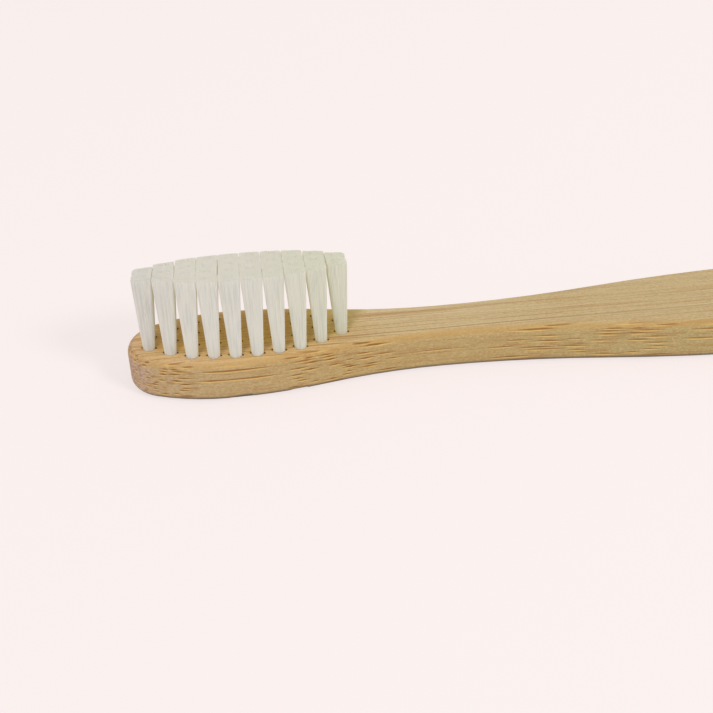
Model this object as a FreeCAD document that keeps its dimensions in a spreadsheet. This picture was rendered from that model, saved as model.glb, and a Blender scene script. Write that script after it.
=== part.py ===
import FreeCAD
import Part
import Sketcher
import os
from math import atan2

# A manual toothbrush: a flat bamboo handle, and a head with ten columns of nylon tufts.
# Each tuft is folded over a flat metal anchor and pressed into a blind bore of the head.
# Millimetres. +X runs from the head to the grip, +Z is up through the bristles, and
# the origin is under the middle of the brush, on the flat back that it lies on.

# Driving sizes
SIZES = {
    # handle, seen from above; stations are measured from the tip of the head
    "length": 190.0,
    "thickness": 5.2,
    "head_width": 12.0,
    "head_station": 11.44,
    "neck_width": 6.6,
    "neck_station": 37.0,
    "grip_width": 13.1,
    "grip_station": 82.6,
    "edge_radius": 1.0,
    # nose radii as shares of half the width behind them
    "tip_share": 0.775,
    "end_share": 0.72,
    # how much of each S-shaped flank is the convex arc on the head and the concave one at the neck
    "head_flank_share": 0.457,
    "neck_flank_share": 0.423,
    # tuft field: first column from the tip, distance between columns, and margin at the sides
    "first_column": 2.63,
    "column_pitch": 2.5,
    "side_margin": 1.85,
    "inner_row_share": 0.306,
    # bores, and the wood left under them
    "bore_width": 1.46,
    "back_wall": 1.7,
    "clearance": 0.03,
    # tufts: height at the middle of the field, slant of the trimmed face, gap at the top
    "tuft_height": 9.42,
    "trim_slant": 11.4,
    "tuft_gap": 0.12,
    # how far the tops draw in towards the middle of the field, across and along the brush
    "lean_across_share": 0.12,
    "lean_along_share": 0.03,
    # anchors: flat strips across the bores, turned a little off the length of the brush
    "anchor_length": 1.78,
    "anchor_gauge": 0.28,
    "anchor_height": 1.4,
    "anchor_turn": 10.7,
    "fold_depth": 0.6,
    # how far a cutting shape reaches past what it cuts
    "overrun": 0.5,
}

# Rows across the brush in each column, as shares of the outer row's offset.
# A pair stands either side of the middle; the inner pair of a column of four has its own share.
OUTER_SHARES = (0.285, 0.615, 0.855, 0.94, 1.0, 1.0, 0.94, 0.855, 0.615, 0.285)
ROW_COUNTS = (2, 3, 4, 4, 4, 4, 4, 4, 3, 2)
TIGHTEST_SHARE = min(share for share, rows in zip(OUTER_SHARES, ROW_COUNTS) if rows == 4)

# Faces and edges closer than this count as lying in one plane
MATCH = 1e-6

doc = FreeCAD.newDocument("toothbrush")
sheet = doc.addObject("Spreadsheet::Sheet", "sizes")
for row, (alias, value) in enumerate(SIZES.items(), start=1):
    sheet.set(f"A{row}", alias)
    sheet.set(f"B{row}", str(value))
    sheet.setAlias(f"B{row}", alias)
doc.recompute()


def size(alias):
    """The value that the sheet holds under a name."""
    return float(sheet.get(alias))


def bind(item, expressions):
    """Tie properties of an object to the sheet."""
    for name, expression in expressions.items():
        item.setExpression(name, expression)


# Places that several pieces share, as expressions on the sheet
TIP = "(-sizes.length / 2)"
FIELD_MIDDLE = f"({TIP} + sizes.first_column + {(len(ROW_COUNTS) - 1) / 2} * sizes.column_pitch)"
OUTER_ROW = "(sizes.head_width / 2 - sizes.side_margin)"
BORE_FLOOR = "sizes.back_wall"
ANCHOR_SEAT = "(sizes.back_wall + sizes.fold_depth)"
# the closest two rows of a column of four, where they leave the head
ROW_STEP = f"({OUTER_ROW} * ({TIGHTEST_SHARE} - sizes.inner_row_share))"


# Handle outline
def flank_sum(run, rise):
    """Sum of the radii of two arcs that join in an S and are level at both ends."""
    return (run**2 + rise**2) / (2 * rise)


def flank_radius(reach, half_width, nose):
    """Radius of the arc that is level at the widest point and runs into a round nose."""
    return (reach**2 - 2 * reach * nose + half_width**2) / (2 * (half_width - nose))


def meeting_point(first, second):
    """Where two tangent circles (x, y, radius) touch; a concave one has a negative radius."""
    (x1, y1, r1), (x2, y2, r2) = first, second
    if r1 * r2 < 0:
        share = abs(r1) / (abs(r1) + abs(r2))
    else:
        share = r1 / (r1 - r2)
    return x1 + share * (x2 - x1), y1 + share * (y2 - y1)


def outline_circles():
    """The eight circles of half the outline, from the tip of the head to the end of the grip."""
    tip = -size("length") / 2
    end = size("length") / 2
    head, half_head = tip + size("head_station"), size("head_width") / 2
    neck, half_neck = tip + size("neck_station"), size("neck_width") / 2
    grip, half_grip = tip + size("grip_station"), size("grip_width") / 2
    tip_nose = half_head * size("tip_share")
    end_nose = half_grip * size("end_share")
    front = flank_radius(head - tip, half_head, tip_nose)
    tail = flank_radius(end - grip, half_grip, end_nose)
    head_sum = flank_sum(neck - head, half_head - half_neck)
    grip_sum = flank_sum(grip - neck, half_grip - half_neck)
    head_rear = head_sum * size("head_flank_share")
    neck_front = head_sum - head_rear
    neck_rear = grip_sum * size("neck_flank_share")
    grip_front = grip_sum - neck_rear
    return [
        (tip + tip_nose, 0, tip_nose),
        (head, half_head - front, front),
        (head, half_head - head_rear, head_rear),
        (neck, half_neck + neck_front, -neck_front),
        (neck, half_neck + neck_rear, -neck_rear),
        (grip, half_grip - grip_front, grip_front),
        (grip, half_grip - tail, tail),
        (end - end_nose, 0, end_nose),
    ]


def outline_joints():
    """The ends of the eight arcs, left to right."""
    circles = outline_circles()
    tip, end = -size("length") / 2, size("length") / 2
    head = (tip + size("head_station"), size("head_width") / 2)
    neck = (tip + size("neck_station"), size("neck_width") / 2)
    grip = (tip + size("grip_station"), size("grip_width") / 2)
    return [
        (tip, 0),
        meeting_point(circles[0], circles[1]),
        head,
        meeting_point(circles[2], circles[3]),
        neck,
        meeting_point(circles[4], circles[5]),
        grip,
        meeting_point(circles[6], circles[7]),
        (end, 0),
    ]


# Which end of a sketch element a constraint means
START, END, CENTRE = 1, 2, 3
ORIGIN, X_AXIS = (-1, START), -1

# Radii of the arcs whose size is worked out from widths and stations
HEAD_DROP = "(sizes.head_width - sizes.neck_width) / 2"
GRIP_DROP = "(sizes.grip_width - sizes.neck_width) / 2"
HEAD_RUN = "(sizes.neck_station - sizes.head_station)"
GRIP_RUN = "(sizes.grip_station - sizes.neck_station)"


def flank_expression(run, drop, share):
    return f"(pow({run}; 2) + pow({drop}; 2)) / (2 * {drop}) * sizes.{share}"


def draw_outline(sketch):
    """Half the outline: eight tangent arcs over a line on the brush's axis."""
    circles, joints = outline_circles(), outline_joints()
    left, right = {}, {}
    for index, (x, y, radius) in enumerate(circles):
        angles = [atan2(point[1] - y, point[0] - x) for point in joints[index:index + 2]]
        circle = Part.Circle(FreeCAD.Vector(x, y, 0), FreeCAD.Vector(0, 0, 1), abs(radius))
        if radius > 0:
            sketch.addGeometry(Part.ArcOfCircle(circle, angles[1], angles[0]))
            left[index], right[index] = END, START
        else:
            sketch.addGeometry(Part.ArcOfCircle(circle, angles[0], angles[1]))
            left[index], right[index] = START, END
    last = len(circles) - 1
    ends = [FreeCAD.Vector(x, y, 0) for x, y in (joints[-1], joints[0])]
    axis = sketch.addGeometry(Part.LineSegment(ends[0], ends[1]))

    def constrain(name, kind, *arguments, expression=None):
        index = sketch.addConstraint(Sketcher.Constraint(kind, *arguments))
        sketch.renameConstraint(index, name)
        if expression:
            sketch.setExpression(f"Constraints.{name}", expression)

    for index in range(last):
        constrain(f"smooth_{index}", "Tangent", index, right[index], index + 1, left[index + 1])
    constrain("close_end", "Coincident", axis, START, last, right[last])
    constrain("close_tip", "Coincident", axis, END, 0, left[0])
    constrain("end_on_axis", "PointOnObject", axis, START, X_AXIS)
    constrain("tip_on_axis", "PointOnObject", axis, END, X_AXIS)
    constrain("tip_round", "PointOnObject", 0, CENTRE, X_AXIS)
    constrain("end_round", "PointOnObject", last, CENTRE, X_AXIS)
    constrain("tip_place", "DistanceX", axis, END, *ORIGIN, -joints[0][0],
              expression="sizes.length / 2")
    constrain("end_place", "DistanceX", *ORIGIN, axis, START, joints[-1][0],
              expression="sizes.length / 2")
    constrain("tip_radius", "Radius", 0, circles[0][2],
              expression="sizes.head_width / 2 * sizes.tip_share")
    constrain("end_radius", "Radius", last, circles[last][2],
              expression="sizes.grip_width / 2 * sizes.end_share")
    for name, index in (("head", 1), ("neck", 3), ("grip", 5)):
        x, y = joints[index + 1]
        constrain(f"{name}_level", "Vertical", index, CENTRE, index, right[index])
        constrain(f"{name}_station", "DistanceX", axis, END, index, right[index], x - joints[0][0],
                  expression=f"sizes.{name}_station")
        constrain(f"{name}_half_width", "DistanceY", axis, END, index, right[index], y,
                  expression=f"sizes.{name}_width / 2")
    constrain("head_flank", "Radius", 2, circles[2][2],
              expression=flank_expression(HEAD_RUN, HEAD_DROP, "head_flank_share"))
    constrain("neck_flank", "Radius", 4, -circles[4][2],
              expression=flank_expression(GRIP_RUN, GRIP_DROP, "neck_flank_share"))


def origin_plane(body, role):
    """One of a body's own origin planes."""
    return next(plane for plane in body.Origin.OriginFeatures if plane.Role == role)


def flat_edges(shape):
    """Names of the edges that lie in the top or the bottom face."""
    names = []
    for index, edge in enumerate(shape.Edges, start=1):
        box = edge.BoundBox
        level = box.ZMax - box.ZMin < MATCH
        at_face = min(abs(box.ZMin), abs(box.ZMax - size("thickness"))) < MATCH
        if level and at_face:
            names.append(f"Edge{index}")
    return names


def make_blank():
    """The handle before it is drilled: half an outline padded, mirrored and rounded."""
    body = doc.addObject("PartDesign::Body", "handle_blank")
    sketch = body.newObject("Sketcher::SketchObject", "handle_outline")
    sketch.AttachmentSupport = (origin_plane(body, "XY_Plane"), "")
    sketch.MapMode = "FlatFace"
    draw_outline(sketch)
    doc.recompute()
    pad = body.newObject("PartDesign::Pad", "handle_pad")
    pad.Profile = sketch
    bind(pad, {"Length": "sizes.thickness"})
    doc.recompute()
    mirrored = body.newObject("PartDesign::Mirrored", "handle_mirror")
    mirrored.Originals = [pad]
    mirrored.MirrorPlane = (origin_plane(body, "XZ_Plane"), [""])
    body.Tip = mirrored
    doc.recompute()
    rounding = body.newObject("PartDesign::Fillet", "handle_edges")
    rounding.Base = (mirrored, flat_edges(mirrored.Shape))
    bind(rounding, {"Radius": "sizes.edge_radius"})
    body.Tip = rounding
    doc.recompute()
    return body


# Tuft field
def tuft_places():
    """Column, row and the expressions for where each tuft leaves the head."""
    places = []
    for column, (rows, outer) in enumerate(zip(ROW_COUNTS, OUTER_SHARES)):
        x = f"({TIP} + sizes.first_column + {column} * sizes.column_pitch)"
        outer_row = f"{outer} * {OUTER_ROW}"
        inner_row = f"sizes.inner_row_share * {OUTER_ROW}"
        offsets = {
            2: [f"(-{outer_row})", f"({outer_row})"],
            3: [f"(-{outer_row})", "0", f"({outer_row})"],
            4: [f"(-{outer_row})", f"(-{inner_row})", f"({inner_row})", f"({outer_row})"],
        }[rows]
        for row, y in enumerate(offsets, start=1):
            places.append((column + 1, row, x, y))
    return places


def cylinder(name, x, y, z, radius, height):
    """An upright cylinder whose seam lies a quarter turn away from the anchor's slit."""
    item = doc.addObject("Part::Cylinder", name)
    item.Placement.Rotation = FreeCAD.Rotation(FreeCAD.Vector(0, 0, 1), 90)
    bind(item, {
        "Radius": radius,
        "Height": height,
        "Placement.Base.x": x,
        "Placement.Base.y": y,
        "Placement.Base.z": z,
    })
    return item


def turned_box(name, x, y, z, length, width, height):
    """A box centred on a tuft's axis and turned as the anchors are."""
    item = doc.addObject("Part::Box", name)
    item.Placement.Rotation = FreeCAD.Rotation(FreeCAD.Vector(0, 0, 1), -size("anchor_turn"))
    turn = "sizes.anchor_turn"
    bind(item, {
        "Length": length,
        "Width": width,
        "Height": height,
        "Placement.Base.x": f"{x} - ({length}) / 2 * cos({turn}) - ({width}) / 2 * sin({turn})",
        "Placement.Base.y": f"{y} + ({length}) / 2 * sin({turn}) - ({width}) / 2 * cos({turn})",
        "Placement.Base.z": z,
        "Placement.Rotation.Angle": f"-{turn}",
    })
    return item


def make_handle(places):
    """The blank with a bore for each tuft and, across it, the slit that its anchor cuts."""
    blank = make_blank()
    tools = []
    for column, row, x, y in places:
        mark = f"{column:02d}_{row}"
        tools.append(cylinder(f"bore_{mark}", x, y, BORE_FLOOR, "sizes.bore_width / 2",
                              f"sizes.thickness - {BORE_FLOOR} + sizes.overrun"))
        tools.append(turned_box(f"slit_{mark}", x, y, ANCHOR_SEAT,
                                "sizes.anchor_length + 2 * sizes.clearance",
                                "sizes.anchor_gauge + 2 * sizes.clearance",
                                f"sizes.thickness - {ANCHOR_SEAT} + sizes.overrun"))
    drill = doc.addObject("Part::MultiFuse", "drilling")
    drill.Shapes = tools
    handle = doc.addObject("Part::Cut", "drilled_handle")
    handle.Base = blank
    handle.Tool = drill
    handle.Label = "handle"
    return handle


# Tufts
TUFT_RADIUS = "(sizes.bore_width / 2 - sizes.clearance)"
TOP_HALF_LENGTH = "((sizes.column_pitch * (1 - sizes.lean_along_share) - sizes.tuft_gap) / 2)"
TOP_HALF_WIDTH = f"(({ROW_STEP} * (1 - sizes.lean_across_share) - sizes.tuft_gap) / 2)"


def top_half_sizes():
    """Half the length and half the width of a tuft's trimmed face."""
    outer_row = size("head_width") / 2 - size("side_margin")
    row_step = outer_row * (TIGHTEST_SHARE - size("inner_row_share"))
    half_length = (size("column_pitch") * (1 - size("lean_along_share")) - size("tuft_gap")) / 2
    half_width = (row_step * (1 - size("lean_across_share")) - size("tuft_gap")) / 2
    return half_length, half_width


def make_tuft(column, row, x, y):
    """A round root in its bore, flaring to an oval, slanting face at the top."""
    mark = f"{column:02d}_{row}"
    root = cylinder(f"root_{mark}", x, y, f"{BORE_FLOOR} + sizes.clearance", TUFT_RADIUS,
                    f"sizes.thickness - {BORE_FLOOR} - sizes.clearance")
    # an oval has its major radius along its own X, so the sections turn where it is wider than long
    half_length, half_width = top_half_sizes()
    long_oval = half_length >= half_width
    quarter = 0 if long_oval else 90
    upright = FreeCAD.Rotation(FreeCAD.Vector(0, 0, 1), quarter)
    slant = FreeCAD.Rotation(FreeCAD.Vector(1, 0, 0), -size("trim_slant"))
    foot = doc.addObject("Part::Circle", f"foot_{mark}")
    foot.Placement.Rotation = upright
    bind(foot, {
        "Radius": TUFT_RADIUS,
        "Placement.Base.x": x,
        "Placement.Base.y": y,
        "Placement.Base.z": "sizes.thickness",
    })
    top = doc.addObject("Part::Ellipse", f"top_{mark}")
    top.Placement.Rotation = slant.multiply(upright)
    top_y = f"({y} * (1 - sizes.lean_across_share))"
    bind(top, {
        "MajorRadius": TOP_HALF_LENGTH if long_oval else TOP_HALF_WIDTH,
        "MinorRadius": TOP_HALF_WIDTH if long_oval else TOP_HALF_LENGTH,
        "Placement.Base.x": f"{x} - ({x} - {FIELD_MIDDLE}) * sizes.lean_along_share",
        "Placement.Base.y": top_y,
        "Placement.Base.z": f"sizes.thickness + sizes.tuft_height - {top_y} * tan(sizes.trim_slant)",
    })
    flare = doc.addObject("Part::Loft", f"flare_{mark}")
    flare.Sections = [foot, top]
    flare.Solid = True
    flare.Ruled = True
    whole = doc.addObject("Part::Fuse", f"whole_{mark}")
    whole.Base = root
    whole.Tool = flare
    slot = turned_box(f"slot_{mark}", x, y, ANCHOR_SEAT,
                      "sizes.bore_width + 2 * sizes.overrun",
                      "sizes.anchor_gauge + 2 * sizes.clearance",
                      "sizes.anchor_height + 2 * sizes.clearance")
    tuft = doc.addObject("Part::Cut", f"slotted_{mark}")
    tuft.Base = whole
    tuft.Tool = slot
    tuft.Label = f"tuft_column_{column:02d}_row_{row}"
    return tuft


# Anchors
def make_anchors(column, places):
    """The flat strips that hold one column of tufts, each a solid of its own."""
    strips = []
    for _, row, x, y in places:
        strips.append(turned_box(f"strip_{column:02d}_{row}", x, y,
                                 f"{ANCHOR_SEAT} + sizes.clearance",
                                 "sizes.anchor_length", "sizes.anchor_gauge",
                                 "sizes.anchor_height"))
    group = doc.addObject("Part::Compound", f"strips_{column:02d}")
    group.Links = strips
    group.Label = f"anchors_column_{column:02d}"
    return group


# Assembly
places = tuft_places()
nodes = [make_handle(places)]
for place in places:
    nodes.append(make_tuft(*place))
for column in range(1, len(ROW_COUNTS) + 1):
    nodes.append(make_anchors(column, [place for place in places if place[0] == column]))
doc.recompute()

# Every object is sound before anything is written
for item in doc.Objects:
    if {"Invalid", "Error"} & set(item.State):
        raise RuntimeError(f"{item.Name} failed: {item.State}")
for node in nodes:
    if node.Shape.isNull() or not node.Shape.isValid():
        raise RuntimeError(f"{node.Label} has no valid shape")
    if not node.Shape.Solids:
        raise RuntimeError(f"{node.Label} has no solid")

os.makedirs("parts", exist_ok=True)
for node in nodes:
    node.Shape.exportStep(f"parts/{node.Label}.step")
print(f"{len(nodes)} nodes, {sum(len(node.Shape.Solids) for node in nodes)} solids")
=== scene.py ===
import bpy
import random
from math import atan, cos, pi, radians, sin
from mathutils import Matrix, Vector


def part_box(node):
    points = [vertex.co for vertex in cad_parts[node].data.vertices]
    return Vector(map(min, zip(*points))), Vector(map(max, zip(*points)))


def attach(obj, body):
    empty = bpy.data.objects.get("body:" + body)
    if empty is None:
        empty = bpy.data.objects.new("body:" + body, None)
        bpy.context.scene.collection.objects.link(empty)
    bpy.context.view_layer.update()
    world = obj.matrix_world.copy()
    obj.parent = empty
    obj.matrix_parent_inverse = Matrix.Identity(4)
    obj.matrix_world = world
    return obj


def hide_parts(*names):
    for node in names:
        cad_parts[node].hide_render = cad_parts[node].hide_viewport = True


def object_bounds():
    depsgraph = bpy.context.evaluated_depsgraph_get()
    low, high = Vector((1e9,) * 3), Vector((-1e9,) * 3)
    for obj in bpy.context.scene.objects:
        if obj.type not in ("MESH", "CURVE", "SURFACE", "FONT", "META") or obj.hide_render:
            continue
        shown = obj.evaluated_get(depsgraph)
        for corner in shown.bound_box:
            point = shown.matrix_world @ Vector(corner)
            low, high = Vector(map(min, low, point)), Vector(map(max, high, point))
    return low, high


# The looks of a bamboo toothbrush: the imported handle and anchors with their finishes, and
# each tuft as folded nylon strands that stand where its plain solid does. Metres.

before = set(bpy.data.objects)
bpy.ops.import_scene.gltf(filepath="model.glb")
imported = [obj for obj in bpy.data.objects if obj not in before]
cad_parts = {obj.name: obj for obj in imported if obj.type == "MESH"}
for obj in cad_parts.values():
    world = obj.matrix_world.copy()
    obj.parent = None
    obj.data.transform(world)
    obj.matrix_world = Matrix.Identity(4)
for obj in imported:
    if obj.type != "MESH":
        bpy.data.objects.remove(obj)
cad_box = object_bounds()

MM = 0.001

# The flat top of the head, where the bores open, and the box of all the tufts
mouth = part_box("handle")[1].z
tuft_boxes = [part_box(name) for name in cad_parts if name.startswith("tuft")]
tuft_low = Vector(map(min, zip(*(low for low, high in tuft_boxes))))
tuft_high = Vector(map(max, zip(*(high for low, high in tuft_boxes))))
field_middle = (tuft_low.x + tuft_high.x) / 2
field_half = (tuft_high.x - tuft_low.x) / 2


# Node helpers
def new_material(name):
    material = bpy.data.materials.new(name)
    material.use_nodes = True
    return material, material.node_tree


def node(tree, kind, inputs=None, **settings):
    """Adds a node; inputs may be values or other nodes' output sockets."""
    made = tree.nodes.new(kind)
    for key, value in settings.items():
        setattr(made, key, value)
    for key, value in (inputs or {}).items():
        if isinstance(value, bpy.types.NodeSocket):
            tree.links.new(value, made.inputs[key])
        else:
            made.inputs[key].default_value = value
    return made


def maths(tree, operation, first, second=0.0, third=0.0):
    return node(tree, "ShaderNodeMath", {0: first, 1: second, 2: third},
                operation=operation).outputs[0]


def product(tree, first, *factors):
    for factor in factors:
        first = maths(tree, "MULTIPLY", first, factor)
    return first


def vector_maths(tree, operation, first, second):
    return node(tree, "ShaderNodeVectorMath", {0: first, 1: second},
                operation=operation).outputs[0]


def split(tree, vector):
    return node(tree, "ShaderNodeSeparateXYZ", {0: vector}).outputs


def ramp(tree, factor, low, high, low_value=0.0, high_value=1.0):
    """A smooth step from low_value to high_value as factor goes from low to high."""
    return node(tree, "ShaderNodeMapRange", {
        "Value": factor, "From Min": low, "From Max": high,
        "To Min": low_value, "To Max": high_value,
    }, interpolation_type="SMOOTHSTEP").outputs[0]


def band(tree, factor, start, end):
    """1 between two soft limits, and 0 before and after them."""
    return product(tree, ramp(tree, factor, *start), ramp(tree, factor, *end, 1.0, 0.0))


def mix(tree, factor, first, second):
    made = node(tree, "ShaderNodeMix", data_type="RGBA")
    for index, value in ((0, factor), (6, first), (7, second)):
        if isinstance(value, bpy.types.NodeSocket):
            tree.links.new(value, made.inputs[index])
        else:
            made.inputs[index].default_value = value
    return made.outputs[2]


def noise(tree, place, scale, detail):
    return node(tree, "ShaderNodeTexNoise",
                {"Vector": place, "Scale": scale, "Detail": detail}).outputs


def drawn_out(tree, place, squeeze, scale, detail):
    """Noise that is drawn out along the axes whose coordinates are squeezed."""
    return noise(tree, vector_maths(tree, "MULTIPLY", place, squeeze), scale, detail)[0]


def linear(red, green, blue):
    """An sRGB colour of 0 to 255 as the linear colour that a shader takes."""
    def channel(value):
        value /= 255
        return value / 12.92 if value <= 0.04045 else ((value + 0.055) / 1.055) ** 2.4
    return (channel(red), channel(green), channel(blue), 1.0)


def painted(tree, colour, strength, paint):
    """A colour with a paint laid over it."""
    return mix(tree, strength, colour, linear(*paint))


def changing(tree, first, changes):
    """A first colour and its changes: what each follows, the limits there, and its colour."""
    colour = linear(*first)
    for factor, limits, later in changes:
        colour = painted(tree, colour, ramp(tree, factor, *limits), later)
    return colour


# Values of the materials: colours are of 0 to 255, and limits are where a smooth step starts
# and ends, with the values there where they aren't 0 and 1.

# Bamboo, its fibre bundles
# they run lengthwise, in upright layers: distances between layers and in a layer
LAYER_PITCH = 0.82 * MM
BUNDLE_PITCH = 0.4 * MM
BUNDLE_RANDOMNESS = 0.85
# half sizes of a bundle's cut in the sides and ends, and in the flat faces
BUNDLE_HALF_WIDTH, FLAT_HALF_WIDTH = 0.22 * MM, 0.1 * MM
BUNDLE_HALF_HEIGHT, FLAT_HALF_HEIGHT = 0.13 * MM, 0.2 * MM
# how far a bundle strays, and the scale and detail of the noise that it follows
BUNDLE_WANDER = 0.4 * MM
WANDER_SCALE = 45.0
WANDER_DETAIL = 1.0
# bundles differ in size by these shares, and a cell of low chance holds none
BUNDLE_SIZE_SHARES = (0.7, 1.3)
BUNDLE_CHANCES = (0.05, 0.15)
# the dark rod and the pale painted highlight under it, in half sizes: how far down, and its
# full core
DARK_ROD = (0.0, 0.5)
PALE_HIGHLIGHT_ROD = (1.1, 0.4)
ROD_REACH = 1.15
PALE_HIGHLIGHT_LIMITS_IN_FLATS = (0.0, 0.8, 1.0, 0.0)
# colours of a dark rod from one tone to the other, and how much shows in sides, flats, ends
BUNDLE_COLOURS = ((124, 80, 30), (152, 104, 46))
DARK_STRENGTHS = (0.88, 0.64)
DARK_STRENGTH_IN_ENDS = 0.65
# the painted highlight under each bundle
PALE_HIGHLIGHT_COLOUR = (225, 194, 122)
PALE_HIGHLIGHT_STRENGTH = 0.85

# Bamboo, its broad colours
# how squarely a surface faces up or down, along the brush, or up, to count as that face
FLAT_LIMITS = (0.7, 0.98)
END_LIMITS = (0.15, 0.8)
TOP_LIMITS = (0.5, 0.85)
# each kind of face at the tip of the head, and its changes by millimetres from the tip
SIDE_COLOURS = ((187, 165, 125), ((8, 26), (186, 163, 113)), ((26, 75), (175, 161, 113)))
FACE_COLOURS = ((213, 181, 143), ((6, 13), (207, 176, 128)), ((18, 32), (203, 187, 151)),
                ((34, 52), (193, 176, 138)))
END_COLOURS = ((195, 167, 152), ((40, 80), (194, 172, 134)))

# Bamboo among the tufts, with painted light and shade: paler at the near side, where light
# gets in between the nearest tufts, and darker further back and beside the last tuft, where
# the tufts shade it
# where that zone fades at each side, from the tufts' box; its near side curves back at its
# ends, and its right end slants
ZONE_LEFT = (tuft_low.x - 0.8 * MM, tuft_low.x + 1.8 * MM)
ZONE_RIGHT = (tuft_high.x - 0.8 * MM, tuft_high.x + 1.9 * MM, 1.0, 0.0)
ZONE_NEAR = (tuft_low.y + 1.5 * MM, tuft_low.y + 3.1 * MM)
ZONE_FAR = (tuft_high.y + 0.2 * MM, tuft_high.y + 1.8 * MM, 1.0, 0.0)
ZONE_FRONT = (tuft_low.y + 0.4 * MM, tuft_low.y + 1.2 * MM)
ZONE_ROUNDING = 1.2 * MM
ZONE_SLANT = 0.45
# its colour at the near side, painted light, and its changes across and along the brush,
# painted shade: darker further back, towards the right end, at the left end, and olive
# beside the last tuft
AMONG_TUFTS_NEAR_LIGHT = (240, 200, 120)
AMONG_TUFTS_SHADE_CHANGES = (
    ("Y", (tuft_low.y + 2.2 * MM, tuft_high.y), (196, 156, 84)),
    ("X", (tuft_high.x - 8 * MM, tuft_high.x - 2 * MM), (210, 186, 108)),
    ("X", (tuft_high.x - 1 * MM, tuft_high.x + 0.5 * MM), (186, 171, 108)),
    ("X", (tuft_low.x + 2 * MM, tuft_low.x + 6 * MM, 0.5, 0.0), (168, 130, 76)),
)
# painted light: the paler strip just behind the nearest tufts' bases, where light from the
# front gets in between them
BEHIND_BASES_LIGHT_COLOUR = (236, 204, 154)
BEHIND_BASES_LIGHT_STRENGTH = 0.8

# Bamboo, its grain
# textures: how the coordinates are squeezed, scale and detail
STREAKS = ((0.03, 1.0, 1.0), 700.0, 2.0)
FIBRES = ((0.02, 1.0, 1.0), 5200.0, 2.0)
LINES = ((0.016, 1.0, 1.0), 2300.0, 1.0)
FUZZ = ((0.45, 1.0, 1.0), 7000.0, 2.0)
PORES = ((0.1, 1.0, 1.0), 2600.0, 1.0)
# paints that follow them: limits and colour
STREAK_PAINT = ((0.35, 0.7, 0.0, 0.4), (178, 151, 101))
FIBRE_PAINT = ((0.4, 0.68, 0.0, 0.42), (168, 134, 84))
PALE_FUZZ_PAINT = ((0.48, 0.72, 0.0, 0.5), (212, 190, 146))
DARK_FUZZ_PAINT = ((0.3, 0.46, 0.3, 0.0), (150, 116, 72))
LINE_PAINT = ((0.58, 0.68, 0.0, 0.6), (168, 126, 76))
PORE_PAINT = ((0.52, 0.66, 0.0, 0.5), (140, 104, 72))
# lines and bundles fade between these millimetres from the tip, by a share in the sides and
# one in the flats, and among the tufts
FADE_STATIONS = (30, 60)
FADE_SHARES = (0.16, 0.48)
AMONG_FADE_SHARE = 0.45

# Bamboo, its rims and cuts, by millimetres above the floor or below the top
# painted contact shade along the lower rim, where the brush meets the floor
LOWER_RIM_SHADE = ((0.01, 0.05), (0.28, 0.9))
LOWER_RIM_SHADE_COLOUR = (70, 62, 61)
LOWER_RIM_SHADE_STRENGTH = 0.88
UPPER_RIM = ((0.02, 0.15), (0.45, 0.8))
UPPER_RIM_COLOUR = (186, 146, 84)
# its strengths at the near and at the far side
UPPER_RIM_LIMITS = (-1 * MM, 1 * MM, 0.4, 0.15)
# painted shade on the upper rim among the tufts, where the tufts shade it
UPPER_RIM_SHADE_AMONG_TUFTS_COLOUR = (136, 108, 66)
UPPER_RIM_SHADE_AMONG_TUFTS_STRENGTH = 0.4
# steep walls near the top are those of the bores' mouths and of the anchors' slits, darkened
# there with painted shade
CUT_FACING_LIMITS = (0.3, 0.55, 0.85, 0.0)
CUT_DEPTH_LIMITS = (0.3, 0.4, 1.0, 0.0)
CUT_SHADE_COLOUR = (152, 108, 34)

# Bamboo, its relief and shine
FIBRE_RELIEF = 0.12
FUZZ_RELIEF = 0.1
RELIEF_HEIGHT = 0.03 * MM
RELIEF_STRENGTH = 0.5
BAMBOO_ROUGHNESS = 0.62
BAMBOO_SPECULAR = 0.3


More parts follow.
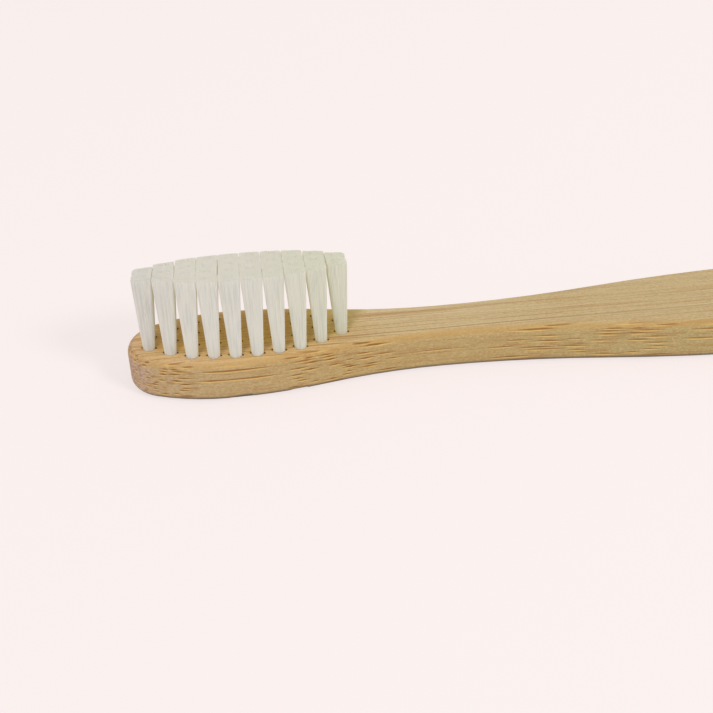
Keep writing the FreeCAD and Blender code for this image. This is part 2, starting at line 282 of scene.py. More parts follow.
class Bamboo:
    """A laminated strip: places and directions on it, and what follows from them."""

    def __init__(self, tree):
        self.tree = tree
        coordinates = node(tree, "ShaderNodeTexCoord").outputs
        self.place = coordinates["Object"]
        self.where = split(tree, self.place)
        self.facing = split(tree, coordinates["Normal"])
        self.flat = ramp(tree, maths(tree, "ABSOLUTE", self.facing["Z"]), *FLAT_LIMITS)
        self.ends = ramp(tree, maths(tree, "ABSOLUTE", self.facing["X"]), *END_LIMITS)
        self.from_tip = maths(tree, "DIVIDE", maths(tree, "SUBTRACT", self.where["X"],
                                                    cad_box[0].x), MM)
        height = maths(tree, "DIVIDE", self.where["Z"], MM)
        self.below_top = maths(tree, "SUBTRACT", mouth / MM, height)
        # painted contact shade at the lower rim
        self.lower_rim_shade = band(tree, height, *LOWER_RIM_SHADE)
        self.upper_rim = band(tree, self.below_top, *UPPER_RIM)
        self.fibres = drawn_out(tree, self.place, *FIBRES)
        self.fuzz = drawn_out(tree, self.place, *FUZZ)
        self.among_tufts, self.painted_light_behind_bases = self.painted_light_and_shade_zones()
        # lines and bundles stand out less towards the grip, least of all in its flat faces
        side_fade, flat_fade = FADE_SHARES
        faded = maths(tree, "MULTIPLY_ADD", ramp(tree, self.from_tip, *FADE_STATIONS),
                      ramp(tree, self.flat, 0.0, 1.0, -side_fade, -flat_fade), 1.0)
        self.faded = product(tree, faded, maths(tree, "MULTIPLY_ADD", self.among_tufts,
                                                -AMONG_FADE_SHARE, 1.0))

    def painted_light_and_shade_zones(self):
        """1 on the top among the tufts and 1 on the top just behind the nearest bases: where light
        and shade are painted.
        """
        tree, where = self.tree, self.where
        off_middle = maths(tree, "DIVIDE", maths(tree, "SUBTRACT", where["X"], field_middle),
                           field_half)
        squared = product(tree, off_middle, off_middle)
        curved = maths(tree, "MULTIPLY_ADD", product(tree, squared, squared), -ZONE_ROUNDING,
                       where["Y"])
        slanted = maths(tree, "MULTIPLY_ADD", where["Y"], -ZONE_SLANT, where["X"])
        near = ramp(tree, curved, *ZONE_NEAR)
        on_top = product(tree, ramp(tree, where["X"], *ZONE_LEFT),
                         ramp(tree, slanted, *ZONE_RIGHT),
                         ramp(tree, self.facing["Z"], *TOP_LIMITS))
        front = maths(tree, "SUBTRACT", ramp(tree, curved, *ZONE_FRONT), near)
        among = product(tree, on_top, near, ramp(tree, where["Y"], *ZONE_FAR))
        return among, product(tree, on_top, front)

    def layers_and_bundles(self):
        """Places across the strip, counted in layers and in a layer's bundles."""
        tree = self.tree
        drift = noise(tree, self.place, WANDER_SCALE, WANDER_DETAIL)["Color"]
        wander = vector_maths(tree, "SUBTRACT", drift, (0.5, 0.5, 0.5))
        wander = vector_maths(tree, "MULTIPLY", wander, (0.0, BUNDLE_WANDER, BUNDLE_WANDER))
        bent = split(tree, vector_maths(tree, "ADD", self.place, wander))
        return node(tree, "ShaderNodeCombineXYZ", {
            0: maths(tree, "DIVIDE", bent["Y"], LAYER_PITCH),
            1: maths(tree, "DIVIDE", bent["Z"], BUNDLE_PITCH),
        }).outputs[0]

    def bundles(self):
        """Darkness and painted highlight of the fibre bundles that a surface cuts, and their tones.

        A bundle is a slim rod along the handle, dark above, with a pale painted highlight below,
        where light catches the lower lip of its groove. Flat faces along it show lines,
        slanted sides show dashes, and the round ends show dots."""
        tree, flat = self.tree, self.flat
        section = self.layers_and_bundles()
        cells = node(tree, "ShaderNodeTexVoronoi",
                     {"Vector": section, "Scale": 1.0, "Randomness": BUNDLE_RANDOMNESS},
                     voronoi_dimensions="2D", feature="F1")
        off = split(tree, vector_maths(tree, "SUBTRACT", section, cells.outputs["Position"]))
        chance = node(tree, "ShaderNodeSeparateColor", {0: cells.outputs["Color"]}).outputs
        size = ramp(tree, chance["Green"], 0.0, 1.0, *BUNDLE_SIZE_SHARES)
        chosen = ramp(tree, chance["Red"], *BUNDLE_CHANCES)
        half_width = ramp(tree, flat, 0.0, 1.0, BUNDLE_HALF_WIDTH / LAYER_PITCH,
                          FLAT_HALF_WIDTH / LAYER_PITCH)
        half_height = ramp(tree, flat, 0.0, 1.0, BUNDLE_HALF_HEIGHT / BUNDLE_PITCH,
                           FLAT_HALF_HEIGHT / BUNDLE_PITCH)
        off_across = maths(tree, "ABSOLUTE", maths(tree, "DIVIDE", off["X"], half_width))
        off_up = maths(tree, "DIVIDE", off["Y"], half_height)

        def rod(drop, core):
            shifted = maths(tree, "ABSOLUTE", maths(tree, "ADD", off_up, drop))
            reach = maths(tree, "DIVIDE", maths(tree, "ADD", off_across, shifted), size)
            return product(tree, ramp(tree, reach, core, ROD_REACH, 1.0, 0.0), chosen)

        # the lower rim, under its painted contact shade, shows no bundles
        above_rim = maths(tree, "SUBTRACT", 1.0, self.lower_rim_shade)
        dark = product(tree, rod(*DARK_ROD), above_rim)
        # the pale rod is a painted highlight, on the sides and not on the flats
        pale = product(tree, rod(*PALE_HIGHLIGHT_ROD), ramp(tree, flat, *PALE_HIGHLIGHT_LIMITS_IN_FLATS), above_rim)
        return dark, pale, chance["Blue"]

    def broad_colour(self):
        """The strip's colours: flat faces are paler than the sides, the ends browner, and light and
        shade are painted among the tufts.
        """
        tree = self.tree
        sides, faces, ends = (
            changing(tree, first, [(self.from_tip, *change) for change in changes])
            for first, *changes in (SIDE_COLOURS, FACE_COLOURS, END_COLOURS))
        colour = mix(tree, self.ends, mix(tree, self.flat, sides, faces), ends)
        among = changing(tree, AMONG_TUFTS_NEAR_LIGHT, [(self.where[axis], limits, later)
                                              for axis, limits, later in AMONG_TUFTS_SHADE_CHANGES])
        # painted light near the front and painted shade further back among the tufts
        colour = mix(tree, self.among_tufts, colour, among)
        # painted light just behind the nearest tufts' bases
        return painted(tree, colour, product(tree, self.painted_light_behind_bases, BEHIND_BASES_LIGHT_STRENGTH),
                       BEHIND_BASES_LIGHT_COLOUR)

    def with_grain(self, colour):
        """Broad streaks, fine fibres, the fuzz of the sanded surface and a few fine lines."""
        tree = self.tree
        for texture, (limits, paint) in (
                (drawn_out(tree, self.place, *STREAKS), STREAK_PAINT),
                (self.fibres, FIBRE_PAINT),
                (self.fuzz, PALE_FUZZ_PAINT),
                (self.fuzz, DARK_FUZZ_PAINT)):
            colour = painted(tree, colour, ramp(tree, texture, *limits), paint)
        limits, paint = LINE_PAINT
        lines = ramp(tree, drawn_out(tree, self.place, *LINES), *limits)
        return painted(tree, colour, product(tree, lines, self.faded), paint)

    def with_rims(self, colour):
        """A lower rim darkened with painted contact shade, an upper one browner, and painted shade
        on it among the tufts.
        """
        tree = self.tree
        # painted contact shade along the lower rim
        colour = painted(tree, colour, product(tree, self.lower_rim_shade, LOWER_RIM_SHADE_STRENGTH),
                         LOWER_RIM_SHADE_COLOUR)
        by_side = ramp(tree, self.where["Y"], *UPPER_RIM_LIMITS)
        colour = painted(tree, colour, product(tree, self.upper_rim, by_side), UPPER_RIM_COLOUR)
        # painted shade on the upper rim among the tufts
        among = product(tree, self.upper_rim, self.among_tufts, UPPER_RIM_SHADE_AMONG_TUFTS_STRENGTH)
        return painted(tree, colour, among, UPPER_RIM_SHADE_AMONG_TUFTS_COLOUR)

    def with_pores(self, colour):
        """Open pores in the end grain."""
        limits, paint = PORE_PAINT
        pores = ramp(self.tree, drawn_out(self.tree, self.place, *PORES), *limits)
        return painted(self.tree, colour, product(self.tree, pores, self.ends), paint)

    def with_dark_bundles(self, colour, dark, tone):
        """The dark rods of the bundles, each with its own tone."""
        tree = self.tree
        depth = product(tree, dark, ramp(tree, self.flat, 0.0, 1.0, *DARK_STRENGTHS), self.faded,
                        ramp(tree, self.ends, 0.0, 1.0, 1.0, DARK_STRENGTH_IN_ENDS))
        first, second = BUNDLE_COLOURS
        return mix(tree, depth, colour, mix(tree, tone, linear(*first), linear(*second)))

    def with_cut_shade(self, colour):
        """The bores' mouths and the slits that the anchors cut, darkened with painted shade."""
        tree = self.tree
        cut = product(tree, ramp(tree, self.facing["Z"], *CUT_FACING_LIMITS),
                      ramp(tree, self.below_top, *CUT_DEPTH_LIMITS))
        return painted(tree, colour, cut, CUT_SHADE_COLOUR)

    def relief(self, dark):
        """Fine fibres and fuzz stand up, and dark bundles lie lower."""
        tree = self.tree
        relief = product(tree, self.fibres, FIBRE_RELIEF)
        relief = maths(tree, "MULTIPLY_ADD", self.fuzz, FUZZ_RELIEF, relief)
        relief = maths(tree, "SUBTRACT", relief, dark)
        return node(tree, "ShaderNodeBump", {
            "Height": relief, "Distance": RELIEF_HEIGHT, "Strength": RELIEF_STRENGTH,
        }).outputs[0]


def bamboo():
    """Bamboo, sanded but not lacquered."""
    material, tree = new_material("bamboo")
    surface = Bamboo(tree)
    dark, pale, tone = surface.bundles()
    colour = surface.with_grain(surface.broad_colour())
    # the painted highlight under each bundle
    colour = painted(tree, colour, product(tree, pale, PALE_HIGHLIGHT_STRENGTH), PALE_HIGHLIGHT_COLOUR)
    colour = surface.with_pores(surface.with_rims(colour))
    colour = surface.with_cut_shade(surface.with_dark_bundles(colour, dark, tone))
    shader = tree.nodes["Principled BSDF"]
    tree.links.new(colour, shader.inputs["Base Color"])
    tree.links.new(surface.relief(dark), shader.inputs["Normal"])
    shader.inputs["Roughness"].default_value = BAMBOO_ROUGHNESS
    shader.inputs["Specular IOR Level"].default_value = BAMBOO_SPECULAR
    return material


# Nylon
# colours of the strands' sides and of their tips, with changes by millimetres from the tip
# of the head; the sides are painted cooler and the tips yellower, to offset the warm light
# that the sides get from the floor and the wood
STRAND_COLOURS = ((206, 209, 217), ((1, 9), (214, 218, 223)), ((13, 25), (208, 214, 207)))
TIP_COLOURS = ((207, 208, 212), ((1, 9), (210, 211, 209)), ((13, 25), (207, 210, 200)))
TIP_LIMITS = (0.3, 0.8)
# strands differ a little in tone: the texture, and paints for low and high places on the
# sides and for high places anywhere
TONE = ((1.0, 1.0, 0.05), 5200.0, 0.0)
DULL_PAINT = ((0.3, 0.48, 0.26, 0.0), (184, 187, 184))
BRIGHT_PAINT = ((0.5, 0.7, 0.0, 0.2), (226, 227, 224))
CREAM_PAINT = ((0.3, 0.7, 0.0, 0.3), (220, 220, 213))
NYLON_ROUGHNESS = 0.45
NYLON_SPECULAR = 0.35
# milky: some of the light goes in and comes out up to this far away
NYLON_SCATTER = 0.3
NYLON_SCATTER_COLOUR = (1.0, 0.95, 0.8)
NYLON_SCATTER_REACH = 0.15 * MM


def nylon():
    """Milky nylon, a trace yellower towards the neck; its sides are painted cooler than its tips, to
    offset the warm light that the sides get.
    """
    material, tree = new_material("nylon")
    coordinates = node(tree, "ShaderNodeTexCoord").outputs
    place = coordinates["Object"]
    from_tip = maths(tree, "DIVIDE", maths(tree, "SUBTRACT", split(tree, place)["X"],
                                           cad_box[0].x), MM)
    sides, tips = (changing(tree, first, [(from_tip, *change) for change in changes])
                   for first, *changes in (STRAND_COLOURS, TIP_COLOURS))
    tone = drawn_out(tree, place, *TONE)
    for limits, paint in (DULL_PAINT, BRIGHT_PAINT):
        sides = painted(tree, sides, ramp(tree, tone, *limits), paint)
    at_tip = ramp(tree, split(tree, coordinates["Normal"])["Z"], *TIP_LIMITS)
    limits, paint = CREAM_PAINT
    colour = painted(tree, mix(tree, at_tip, sides, tips), ramp(tree, tone, *limits), paint)
    shader = tree.nodes["Principled BSDF"]
    tree.links.new(colour, shader.inputs["Base Color"])
    shader.inputs["Roughness"].default_value = NYLON_ROUGHNESS
    shader.inputs["Specular IOR Level"].default_value = NYLON_SPECULAR
    shader.inputs["Subsurface Weight"].default_value = NYLON_SCATTER
    shader.inputs["Subsurface Radius"].default_value = NYLON_SCATTER_COLOUR
    shader.inputs["Subsurface Scale"].default_value = NYLON_SCATTER_REACH
    return material


# Anchor metal: the texture of its rolling, and its colours
ROLLING = ((0.1, 1.0, 1.0), 9000.0, 2.0)
METAL_COLOURS = ((196, 186, 160), (222, 213, 190))
METAL_ROUGHNESS = 0.35


def anchor_metal():
    """Bare nickel silver, rolled lengthwise."""
    material, tree = new_material("anchor_metal")
    place = node(tree, "ShaderNodeTexCoord").outputs["Object"]
    first, second = METAL_COLOURS
    colour = mix(tree, drawn_out(tree, place, *ROLLING), linear(*first), linear(*second))
    shader = tree.nodes["Principled BSDF"]
    tree.links.new(colour, shader.inputs["Base Color"])
    shader.inputs["Metallic"].default_value = 1.0
    shader.inputs["Roughness"].default_value = METAL_ROUGHNESS
    return material


# Backdrop and floor
BACKDROP = linear(252, 242, 240)
# how much of the floor near the object looks like lit card, and how far that reaches; the
# rest is an even pale backdrop
LIT_FLOOR_SHARE = 0.24
LIT_FLOOR_REACH = 0.35
FLOOR_HALF = 3.0
FLOOR_ROUGHNESS = 0.9
FLOOR_SPECULAR = 0.1


def seen_directly(tree):
    """1 for what the camera sees, also in a reflection or through glass."""
    path = node(tree, "ShaderNodeLightPath").outputs
    seen = maths(tree, "MAXIMUM", path["Is Camera Ray"], path["Is Glossy Ray"])
    return maths(tree, "MAXIMUM", seen, path["Is Transmission Ray"])


def floor_paper():
    """Smooth white card with a trace of pink, as even as a lit backdrop."""
    material, tree = new_material("floor_paper")
    shader = tree.nodes["Principled BSDF"]
    shader.inputs["Base Color"].default_value = BACKDROP
    shader.inputs["Roughness"].default_value = FLOOR_ROUGHNESS
    shader.inputs["Specular IOR Level"].default_value = FLOOR_SPECULAR
    backdrop = node(tree, "ShaderNodeEmission", {"Color": BACKDROP, "Strength": 1.0})
    place = node(tree, "ShaderNodeTexCoord").outputs["Object"]
    away = node(tree, "ShaderNodeVectorMath", {0: place}, operation="LENGTH").outputs["Value"]
    even = ramp(tree, away, LIT_FLOOR_REACH / 2, LIT_FLOOR_REACH, 1 - LIT_FLOOR_SHARE, 1.0)
    blend = node(tree, "ShaderNodeMixShader", {0: product(tree, seen_directly(tree), even)})
    tree.links.new(shader.outputs[0], blend.inputs[1])
    tree.links.new(backdrop.outputs[0], blend.inputs[2])
    tree.links.new(blend.outputs[0], tree.nodes["Material Output"].inputs["Surface"])
    return material


def make_floor():
    corners = [(-FLOOR_HALF, -FLOOR_HALF, 0), (FLOOR_HALF, -FLOOR_HALF, 0),
               (FLOOR_HALF, FLOOR_HALF, 0), (-FLOOR_HALF, FLOOR_HALF, 0)]
    mesh = bpy.data.meshes.new("floor")
    mesh.from_pydata(corners, [], [(0, 1, 2, 3)])
    mesh.materials.append(floor_paper())
    floor = bpy.data.objects.new("floor", mesh)
    bpy.context.scene.collection.objects.link(floor)


# Strands. Each is one filament folded in half over the anchor, so it shows two ends.
# rings of ends from the rim inwards: share of the tuft's half width, strands on one side
STRAND_RINGS = ((1.0, 27), (0.87, 23), (0.74, 20), (0.6, 16), (0.45, 12), (0.28, 7), (0.1, 3))
# where the first strand of an even ring and of an odd ring stands, in steps of the ring
RING_STARTS = (0.25, 0.5)
STRAND_RADIUS = 0.05 * MM
STRAND_SIDES = 5
# a strand looks thicker towards its trimmed end, where it is free to splay
TIP_SWELL = 1.8
# stations up the free length, as shares of it
FREE_SHARES = (0.0, 0.3, 0.6, 0.93)
# the tip is a dome: drops below the trim and radii, as shares of the tip's radius
DOME_SHARES = ((0.8, 1.0), (0.25, 0.85), (0.0, 0.45))
# strands splay until the tufts meet, at this share of their free length, and then stand upright
MEETING_SHARE = 0.93

# The bore, its anchor and the fold under that
ANCHOR_TURN = radians(-10.7)
ANCHOR_HALF_GAUGE = 0.14 * MM
BORE_SQUEEZE = 0.01 * MM
FOLD_DEPTH = 0.5 * MM
# the fold's sides, as shares of its depth and of the way to its strand
FOLD_SIDE_DROP_SHARE = 0.75
FOLD_SIDE_SHARE = 0.7

# Neighbouring tufts crowd against each other at the top: in a column they close up, between
# columns narrow seams stay, and corners are fuller inside the field than on its free sides
COLUMN_CROWD = 0.105 * MM
SEAM_CROWD = (0.04 * MM, 0.1 * MM)
INNER_CORNER_POWER = 8
OPEN_CORNER_POWER = 4
CORNER_REACH = 0.7 * MM
FIELD_SPLAY_SHARE = 0.012
TUFT_LEAN = 0.03 * MM

# The trimmed face is rounded off at the field's free sides, most of all at its ends, and
# where neighbouring columns end nearly level, their outer corners share one outline
SIDE_DROP = 0.26 * MM
END_DROP = 0.3 * MM
RIM_POWER = 6
RIM_EVENNESS = 0.5
OUTLINE_EASE = 0.25 * MM

# How much strands differ: their places in a ring, their bend and their trim
ANGLE_SPREAD = 0.012
LEAST_SHARE = 0.985
WANDER = 0.02 * MM
TRIM_SPREAD = 0.05 * MM

# How a tuft's plain solid is read: how much of its foot is its root, and how squarely its
# trimmed face looks up
ROOT_SLICE = 0.1 * MM
TRIM_FACING = 0.9


def rim_box(points):
    """Centre and half sizes of some points, seen from above."""
    low = Vector((min(p.x for p in points), min(p.y for p in points)))
    high = Vector((max(p.x for p in points), max(p.y for p in points)))
    return (low + high) / 2, (high - low) / 2


def tuft_form(solid):
    """Root and trimmed face of a tuft's plain solid, read from its mesh."""
    points = [vertex.co for vertex in solid.data.vertices]
    bottom = min(p.z for p in points)
    peak = max(p.z for p in points)
    root, root_half = rim_box([p for p in points if p.z < bottom + ROOT_SLICE])
    cap = [polygon for polygon in solid.data.polygons
           if polygon.normal.z > TRIM_FACING and polygon.center.z > (bottom + peak) / 2]
    face = [points[index] for polygon in cap for index in polygon.vertices]
    top, top_half = rim_box(face)
    near = min(face, key=lambda p: p.y)
    far = max(face, key=lambda p: p.y)
    slope = (far.z - near.z) / (far.y - near.y)
    level = near.z + (top.y - near.y) * slope
    return root, root_half.x, top, top_half, level, slope


def tube(points, radii, vertices, faces):
    """Adds a closed round strand along points, with a flat cap at each end."""
    start = len(vertices)
    rings = len(points)
    side = None
    for index, (point, radius) in enumerate(zip(points, radii)):
        ahead = points[min(index + 1, rings - 1)]
        behind = points[max(index - 1, 0)]
        along = (ahead - behind).normalized()
        if side is None:
            side = along.cross(Vector((0, 1, 0)))
        side = (side - along * side.dot(along)).normalized()
        other = along.cross(side)
        for step in range(STRAND_SIDES):
            angle = 2 * pi * step / STRAND_SIDES
            vertices.append(point + (side * cos(angle) + other * sin(angle)) * radius)
    for ring in range(rings - 1):
        for step in range(STRAND_SIDES):
            a = start + ring * STRAND_SIDES + step
            b = start + ring * STRAND_SIDES + (step + 1) % STRAND_SIDES
            faces.append((a, b, b + STRAND_SIDES, a + STRAND_SIDES))
    last = start + (rings - 1) * STRAND_SIDES
    faces.append(tuple(start + step for step in reversed(range(STRAND_SIDES))))
    faces.append(tuple(last + step for step in range(STRAND_SIDES)))


def covers(box, x, y):
    """Whether a box lies over a place, seen from above."""
    low, high = box
    return low.x < x < high.x and low.y < y < high.y


def column_reach(column):
    """The nearest place that a column's solids reach, as -1, and the furthest, as 1."""
    places = [vertex.co.y for solid in column for vertex in solid.data.vertices]
    return {-1: min(places), 1: max(places)}


def evened(angle):
    """Moves an angle towards the nearest corner of a square, where strands would be sparse."""
    quarter = round(angle / (pi / 2)) * pi / 2
    off = angle - quarter
    return quarter + (off + atan(4 * off / pi)) / 2


class Tuft:
    """The space that one tuft fills, and where its strands run in it."""

    def __init__(self, solid, column, beside, anchor_low, anchor_high, dice):
        self.root, root_half, self.top, self.top_half, self.level, self.slope = tuft_form(solid)
        self.anchor_low, self.anchor_high, self.dice = anchor_low, anchor_high, dice
        self.bore_room = root_half + BORE_SQUEEZE - STRAND_RADIUS
        self.pinch = ANCHOR_HALF_GAUGE + STRAND_RADIUS
        # the way along the brush in which the field ends here, or 0 between two columns
        self.free_along = (1 not in beside) - (-1 not in beside)
        self.set_room_across(column)
        self.set_room_along()
        self.set_open_corners()
        self.set_ease(column_reach(column), beside)
        splay = (self.root.x - field_middle) * FIELD_SPLAY_SHARE
        self.lean = Vector((splay + dice.uniform(-TUFT_LEAN, TUFT_LEAN),
                            dice.uniform(-TUFT_LEAN, TUFT_LEAN)))

    def set_room_across(self, column):
        """How far the strands reach from the top's middle to the next tuft or free side."""
        centres = [tuft_form(other)[2].y for other in column]
        nearer = [self.top.y - y for y in centres if y < self.top.y]
        further = [y - self.top.y for y in centres if y > self.top.y]
        self.free_near, self.free_far = not nearer, not further
        margin = COLUMN_CROWD - STRAND_RADIUS * TIP_SWELL
        self.room_near = (min(nearer) / 2 if nearer else self.top_half.y) + margin
        self.room_far = (min(further) / 2 if further else self.top_half.y) + margin

    def set_room_along(self):
        """How far they reach towards the next columns, or the free ends of the field."""
        room = self.top_half.x - STRAND_RADIUS * TIP_SWELL
        crowd = self.dice.uniform
        self.room_left = room + (0 if self.free_along < 0 else crowd(*SEAM_CROWD))
        self.room_right = room + (0 if self.free_along > 0 else crowd(*SEAM_CROWD))

    def set_open_corners(self):
        """The corners that have no other tuft beside them."""
        self.open_corners = set()
        for x_side in (-1, 1):
            for y_side in (-1, 1):
                beyond = (self.top.x + x_side * (self.top_half.x + CORNER_REACH),
                          self.top.y + y_side * (self.top_half.y - CORNER_REACH / 2))
                if not any(covers(box, *beyond) for box in tuft_boxes):
                    self.open_corners.add((x_side, y_side))

    def set_ease(self, own_reach, beside):
        """How far the outer corners move towards those of the next columns."""
        self.ease = {}
        for x_side in (-1, 1):
            for y_side, free in ((-1, self.free_near), (1, self.free_far)):
                step = 0
                if free and x_side in beside:
                    step = (beside[x_side][y_side] - own_reach[y_side]) / 2
                self.ease[x_side, y_side] = max(-OUTLINE_EASE, min(step, OUTLINE_EASE))

    def turned(self, along, beside):
        """A way from the bore's middle, from distances along the anchor and beside it."""
        return Vector((along * cos(ANCHOR_TURN) - beside * sin(ANCHOR_TURN),
                       along * sin(ANCHOR_TURN) + beside * cos(ANCHOR_TURN)))

    def pinched(self, along, beside):
        """A strand's place beside the anchor, which takes the middle of the bore."""
        side = 1 if beside > 0 else -1
        room = self.bore_room
        apart = self.pinch + (room - self.pinch) * abs(beside)
        narrow = 1 - (self.pinch / room) ** 2 / 2 * (1 - abs(beside))
        return self.root + self.turned(along * room * narrow, side * apart)

    def head(self, outward):
        """A strand's place at the trimmed face, which is squarer than the bore."""
        way = outward.normalized()
        corner = (1 if way.x > 0 else -1, 1 if way.y > 0 else -1)
        power = OPEN_CORNER_POWER if corner in self.open_corners else INNER_CORNER_POWER
        squared = outward * sum(abs(part) ** power for part in way) ** (-1 / power)
        room_along = self.room_right if way.x > 0 else self.room_left
        room_across = self.room_far if way.y > 0 else self.room_near
        head = self.top + self.lean + Vector((squared.x * room_along, squared.y * room_across))
        head.y += self.ease[corner] * abs(squared.x * squared.y)
        return head

    def rim_drop(self, way):
        """How far the trimmed face is rounded off at its rim, on one side of the tuft."""
        open_along = way.x * self.free_along > 0
        open_across = self.free_far if way.y > 0 else self.free_near
        return END_DROP * open_along * way.x ** 2 + SIDE_DROP * open_across * way.y ** 2

    def end(self, share, angle):
        """One end of a strand, from beside the anchor up to the trimmed face."""
        dice = self.dice
        angle = evened(angle + ANCHOR_TURN) - ANCHOR_TURN + dice.uniform(-ANGLE_SPREAD, ANGLE_SPREAD)
        share *= dice.uniform(LEAST_SHARE, 1.0)
        along = cos(angle) * share
        beside = sin(angle) * share
        pinched = self.pinched(along, beside)
        points = [(*pinched, self.anchor_low), (*pinched, self.anchor_high)]
        radii = [STRAND_RADIUS] * len(points)
        foot = self.root + self.turned(along * self.bore_room, beside * self.bore_room)
        outward = self.turned(along, beside)
        head = self.head(outward)
        drop = self.rim_drop(outward.normalized()) * dice.uniform(RIM_EVENNESS, 1)
        trim = self.level + (head.y - self.top.y) * self.slope
        trim -= dice.uniform(0, TRIM_SPREAD) + drop * share ** RIM_POWER
        bend = Vector((dice.uniform(-WANDER, WANDER), dice.uniform(-WANDER, WANDER)))
        tip_radius = STRAND_RADIUS * TIP_SWELL
        reach = trim - mouth
        dome = [(1 - below * tip_radius / reach, size) for below, size in DOME_SHARES]
        for free, size in [*((free, 1) for free in FREE_SHARES), *dome]:
            flat = foot.lerp(head, min(free / MEETING_SHARE, 1)) + bend * sin(pi * free)
            points.append((*flat, mouth + reach * free))
            radii.append(STRAND_RADIUS * (1 + (TIP_SWELL - 1) * free) * size)
        return [Vector(point) for point in points], radii

    def strand(self, share, angle, vertices, faces):
        """A whole strand: down one side of the anchor, under it and up the other."""
        first, first_radii = self.end(share, angle)
        second, second_radii = self.end(share, -angle)
        middle = (first[0] + second[0]) / 2
        depth = STRAND_RADIUS + (FOLD_DEPTH - 2 * STRAND_RADIUS) * share * abs(sin(angle))
        fold = []
        for flat, drop in ((middle.lerp(first[0], FOLD_SIDE_SHARE), FOLD_SIDE_DROP_SHARE),
                           (middle, 1.0),
                           (middle.lerp(second[0], FOLD_SIDE_SHARE), FOLD_SIDE_DROP_SHARE)):
            fold.append(Vector((flat.x, flat.y, self.anchor_low - depth * drop)))
        points = [*reversed(first), *fold, *second]
        radii = [*reversed(first_radii), *[STRAND_RADIUS] * len(fold), *second_radii]
        tube(points, radii, vertices, faces)


def make_tuft(name, solid, column, beside, anchor, material, dice):
    """The strands of one tuft. beside has the reach of the columns at its sides -1 and 1."""
    low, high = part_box(anchor)
    tuft = Tuft(solid, column, beside, low.z, high.z, dice)
    vertices, faces = [], []
    for ring, (share, count) in enumerate(STRAND_RINGS):
        for index in range(count):
            angle = pi * (index + RING_STARTS[ring % 2]) / count
            tuft.strand(share, angle, vertices, faces)
    mesh = bpy.data.meshes.new(name)
    mesh.from_pydata(vertices, [], faces)
    # the long sides are smooth and the caps flat
    mesh.polygons.foreach_set("use_smooth", [len(p.vertices) == 4 for p in mesh.polygons])
    mesh.materials.append(material)
    piece = bpy.data.objects.new(name, mesh)
    bpy.context.scene.collection.objects.link(piece)
    return piece


def repaint(item, material):
    for slot in item.material_slots:
        slot.material = material


def dress():
    """Gives the handle and anchors their finishes, and puts strands in place of the tufts."""
    bamboo_finish, nylon_finish, metal_finish = bamboo(), nylon(), anchor_metal()
    columns = {}
    for name, solid in sorted(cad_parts.items()):
        if name.startswith("tuft"):
            columns.setdefault(name.split("_row")[0], []).append(solid)
    starts = list(columns)
    for name, solid in sorted(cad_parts.items()):
        if name == "handle":
            repaint(solid, bamboo_finish)
        elif name.startswith("anchors"):
            repaint(solid, metal_finish)
        else:
            start = name.split("_row")[0]
            index = starts.index(start)
            beside = {side: column_reach(columns[starts[index + side]])
                      for side in (-1, 1) if 0 <= index + side < len(starts)}
            bundle = make_tuft(name.replace("tuft", "bristles"), solid, columns[start], beside,
                               start.replace("tuft", "anchors"), nylon_finish,
                               random.Random(name))
            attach(bundle, "root")
            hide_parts(name)


# Lights
WORLD_COLOUR = (1.0, 0.985, 0.97, 1.0)
WORLD_STRENGTH = 0.66
WHITE = (1, 1, 1)
WARM = (1.0, 0.92, 0.83)
THROUGH_NYLON = (1.0, 0.83, 0.45)
BETWEEN_TUFTS = (1.0, 0.78, 0.32)
# lamps aim at the neck: each one's place from there, size, power and colour
LAMP_TARGET = Vector((-50, 0, 0)) * MM
KEY = (Vector((530, -510, 620)) * MM, 0.25, 4.4, WHITE)
KEY_ON_NYLON = (Vector((300, -420, 800)) * MM, 0.5, 2.3, WHITE)
RIGHT_ON_WOOD = (Vector((440, -420, 720)) * MM, 0.25, 0.3, WARM)
LEFT_ON_WOOD = (Vector((-200, -430, 820)) * MM, 0.14, 2.1, WARM)
THROUGH_ON_WOOD = (Vector((300, -420, 800)) * MM, 0.5, 1.85, THROUGH_NYLON)
GLOW_LEFT = (Vector((-500, -50, 120)) * MM, 0.5, 1.0, BETWEEN_TUFTS)
GLOW_RIGHT = (Vector((500, -50, 120)) * MM, 0.5, 1.0, BETWEEN_TUFTS)


def light_world():
    """An even light from all around, before a pale backdrop."""
    world = bpy.data.worlds.new("studio")
    bpy.context.scene.world = world
    world.use_nodes = True
    tree = world.node_tree
    light = tree.nodes["Background"]
    light.inputs["Color"].default_value = WORLD_COLOUR
    light.inputs["Strength"].default_value = WORLD_STRENGTH
    backdrop = node(tree, "ShaderNodeBackground", {"Color": BACKDROP, "Strength": 1.0})
    blend = node(tree, "ShaderNodeMixShader", {0: seen_directly(tree)})
    tree.links.new(light.outputs[0], blend.inputs[1])
    tree.links.new(backdrop.outputs[0], blend.inputs[2])
    tree.links.new(blend.outputs[0], tree.nodes["World Output"].inputs["Surface"])


def collected(name, items):
    group = bpy.data.collections.new(name)
    for item in items:
        group.objects.link(item)
    return group


def area_light(name, from_target, size, power, colour, lit, blockers):
    """A round lamp that lights some pieces; everything shades it where blockers is None."""
    lamp = bpy.data.lights.new(name, "AREA")
    lamp.shape = "DISK"
    lamp.size = size
    lamp.energy = power
    lamp.color = colour
    item = bpy.data.objects.new(name, lamp)
    item.location = LAMP_TARGET + from_target
    item.rotation_euler = (-from_target).to_track_quat("-Z", "Y").to_euler()
    bpy.context.scene.collection.objects.link(item)
    item.light_linking.receiver_collection = collected(name + "_lit", lit)
    if blockers:
        item.light_linking.blocker_collection = collected(name + "_blockers", blockers)


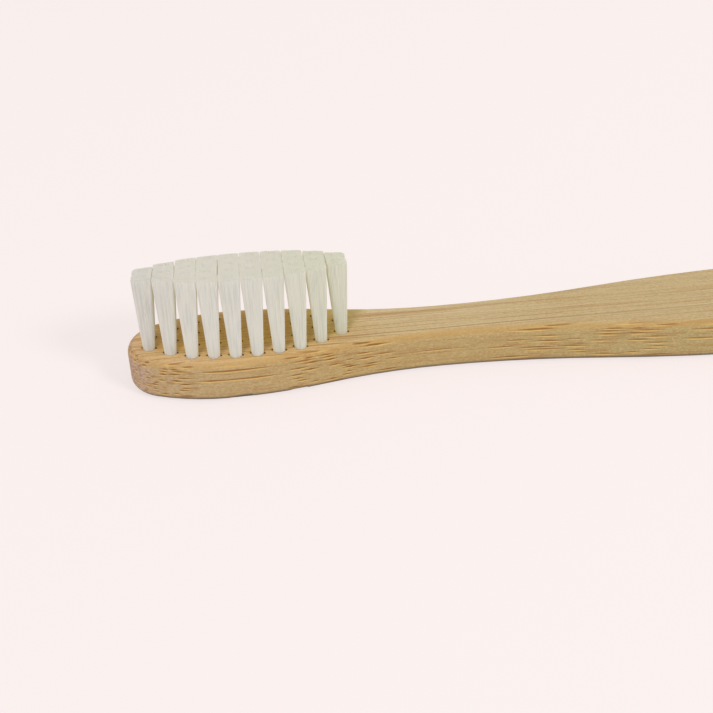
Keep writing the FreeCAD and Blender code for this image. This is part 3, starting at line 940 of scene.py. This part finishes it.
def light_pieces():
    """Lamps for the floor, the nylon and the wood apart.

    Nylon hardly shades other nylon, and passes some light on to the wood, warmer. The floor
    and the anchors have the whole object's shadow."""
    wood = [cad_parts["handle"]]
    meshes = [item for item in bpy.context.scene.objects if item.type == "MESH"]
    nylon_pieces = [item for item in meshes if item.name.startswith("bristles")]
    others = [item for item in meshes if item not in wood + nylon_pieces]
    area_light("key", *KEY, others, None)
    area_light("key_on_nylon", *KEY_ON_NYLON, nylon_pieces, wood)
    area_light("right_on_wood", *RIGHT_ON_WOOD, wood, None)
    area_light("left_on_wood", *LEFT_ON_WOOD, wood, None)
    area_light("through_on_wood", *THROUGH_ON_WOOD, wood, wood)
    # the light that nylon passes on sideways, between one tuft and the next
    area_light("glow_left", *GLOW_LEFT, nylon_pieces, wood)
    area_light("glow_right", *GLOW_RIGHT, nylon_pieces, wood)


# Camera, fitted to the photograph
PHOTO_SIZE = 713
FOCAL_PIXELS = 1268.7
SENSOR = 36.0
CAMERA_PLACE = Vector((-79.892, -125.456, 87.504)) * MM
CAMERA_DOWN = radians(34.5992)
CAMERA_YAW = radians(5.3817)
CAMERA_ROLL = radians(-2.0043)
CAMERA_NEAREST = 10 * MM


def make_camera():
    forward = Vector((sin(CAMERA_YAW) * cos(CAMERA_DOWN), cos(CAMERA_YAW) * cos(CAMERA_DOWN),
                      -sin(CAMERA_DOWN)))
    level = forward.cross(Vector((0, 0, 1))).normalized()
    upright = level.cross(forward)
    right = cos(CAMERA_ROLL) * level + sin(CAMERA_ROLL) * upright
    up = -sin(CAMERA_ROLL) * level + cos(CAMERA_ROLL) * upright
    data = bpy.data.cameras.new("camera")
    data.sensor_width = SENSOR
    data.lens = FOCAL_PIXELS / PHOTO_SIZE * SENSOR
    data.clip_start = CAMERA_NEAREST
    camera = bpy.data.objects.new("camera", data)
    turn = Matrix((right, up, -forward)).transposed()
    camera.matrix_world = Matrix.Translation(CAMERA_PLACE) @ turn.to_4x4()
    bpy.context.scene.collection.objects.link(camera)
    bpy.context.scene.camera = camera


dress()
make_floor()
light_world()
light_pieces()
make_camera()
bpy.context.scene.view_settings.view_transform = "Standard"
